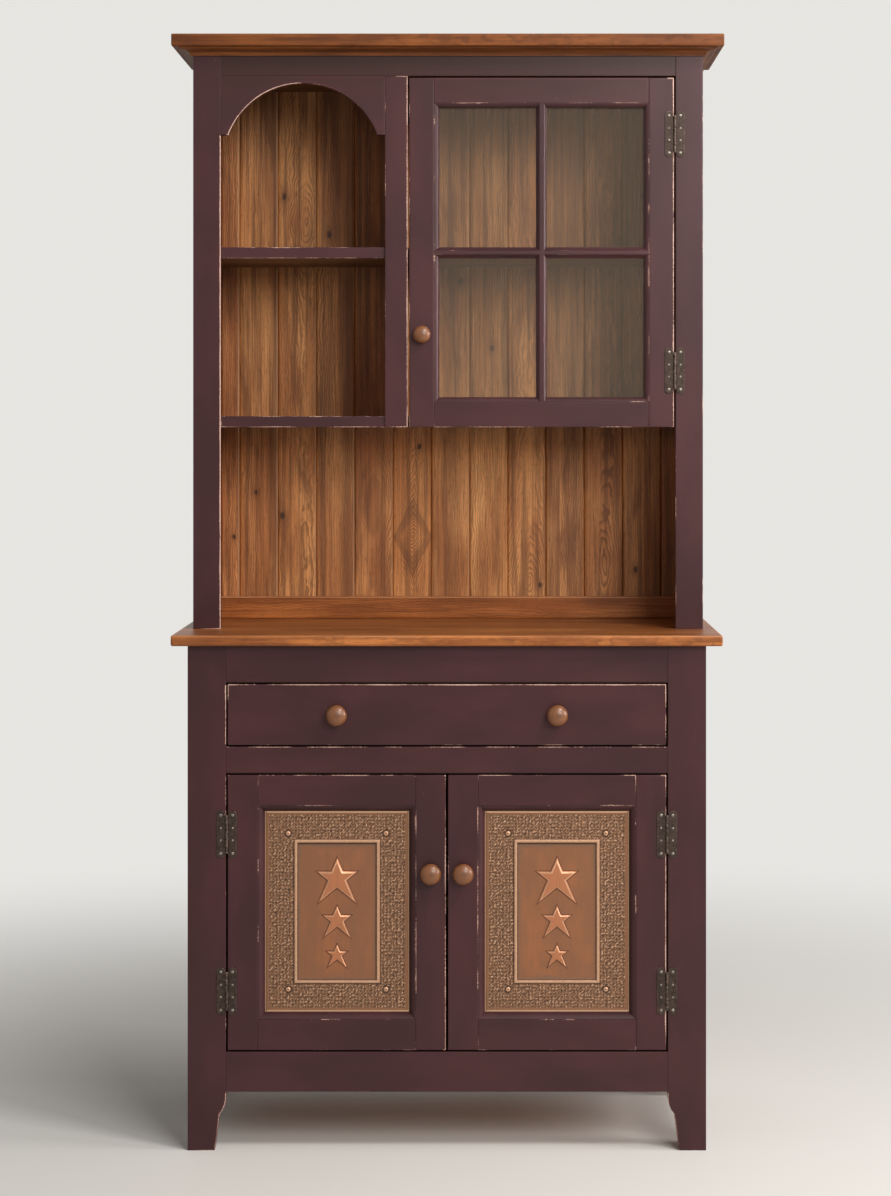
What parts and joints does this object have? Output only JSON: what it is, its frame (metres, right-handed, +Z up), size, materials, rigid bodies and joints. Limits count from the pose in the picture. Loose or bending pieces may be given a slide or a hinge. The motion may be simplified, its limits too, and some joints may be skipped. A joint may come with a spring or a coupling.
{
  "type": "step back cupboard",
  "caption": "Painted step back cupboard: panelled doors under a drawer, a counter, and a shallower upper case with an arched open bay beside a glazed door.",
  "frame": {"origin": "middle of the bounding box on the floor", "axes": "+Z up, +Y towards the back, so the doors and the drawer face -Y; +X to the right as one faces the doors"},
  "size_m": [1.002, 0.448, 1.996],
  "materials": {
    "plum_paint": "matte plum paint over wood, rubbed through to bare wood along the edges",
    "plank_wood": "warm stained planks with strong grain and knots, satin",
    "inner_wood": "plain stained boards, satin",
    "top_wood": "reddish brown stained and lacquered wood",
    "knob_wood": "turned wood, lacquered",
    "pressed_copper": "aged pressed copper, satin",
    "dark_iron": "dark bronzed iron",
    "bright_steel": "worn bright steel",
    "catch_plastic": "moulded brown plastic",
    "clear_glass": "clear window glass"
  },
  "bodies": {
    "case": {"arch_valance": "plum_paint", "back_boards": "plank_wood", "backsplash": "top_wood", "base_back": "inner_wood", "base_bottom_rail": "plum_paint", "base_floor": "inner_wood", "base_mid_rail": "plum_paint", "base_shelf": "inner_wood", "base_sides": "plum_paint", "base_stiles": "plum_paint", "base_top_rail": "plum_paint", "case_hinge_leaves": "dark_iron", "case_hinge_screws": "bright_steel", "counter_top": "top_wood", "crown_board": "top_wood", "crown_moulding": "top_wood", "door_catches": "catch_plastic", "drawer_runners": "inner_wood", "hinge_pins": "dark_iron", "middle_shelves": "inner_wood", "open_bay_rails": "plum_paint", "shelf_cleats": "inner_wood", "upper_bottom_shelf": "inner_wood", "upper_ceiling": "inner_wood", "upper_divider": "inner_wood", "upper_mid_stile": "plum_paint", "upper_sides": "plum_paint", "upper_stiles": "plum_paint", "upper_top_rail": "plum_paint"},
    "drawer": {"drawer_back": "inner_wood", "drawer_bottom": "inner_wood", "drawer_front": "plum_paint", "drawer_knobs": "knob_wood", "drawer_sides": "inner_wood"},
    "left_door": {"left_door_copper_panel": "pressed_copper", "left_door_fixings": "bright_steel", "left_door_hinge_leaves": "dark_iron", "left_door_knob": "knob_wood", "left_door_moulding": "plum_paint", "left_door_panel_backer": "inner_wood", "left_door_rails": "plum_paint", "left_door_stiles": "plum_paint"},
    "right_door": {"right_door_copper_panel": "pressed_copper", "right_door_fixings": "bright_steel", "right_door_hinge_leaves": "dark_iron", "right_door_knob": "knob_wood", "right_door_moulding": "plum_paint", "right_door_panel_backer": "inner_wood", "right_door_rails": "plum_paint", "right_door_stiles": "plum_paint"},
    "glass_door": {"glass_door_fixings": "bright_steel", "glass_door_hinge_leaves": "dark_iron", "glass_door_knob": "knob_wood", "glass_door_moulding": "plum_paint", "glass_door_muntins": "plum_paint", "glass_door_rails": "plum_paint", "glass_door_stiles": "plum_paint", "glass_panes": "clear_glass", "glazing_beads": "inner_wood"}
  },
  "joints": [
    {"name": "left_door_hinge", "type": "hinge", "parent": "case", "child": "left_door", "pos_m": [-0.3905, -0.1988, 0.422], "axis": [0, 0, -1], "range_deg": [0, 170]},
    {"name": "right_door_hinge", "type": "hinge", "parent": "case", "child": "right_door", "pos_m": [0.3905, -0.1988, 0.422], "axis": [0, 0, 1], "range_deg": [0, 170]},
    {"name": "glass_door_hinge", "type": "hinge", "parent": "case", "child": "glass_door", "pos_m": [0.4135, -0.0688, 1.6], "axis": [0, 0, 1], "range_deg": [0, 170]},
    {"name": "drawer_slide", "type": "slide", "parent": "case", "child": "drawer", "axis": [0, -1, 0], "range_m": [0, 0.28]}
  ]
}
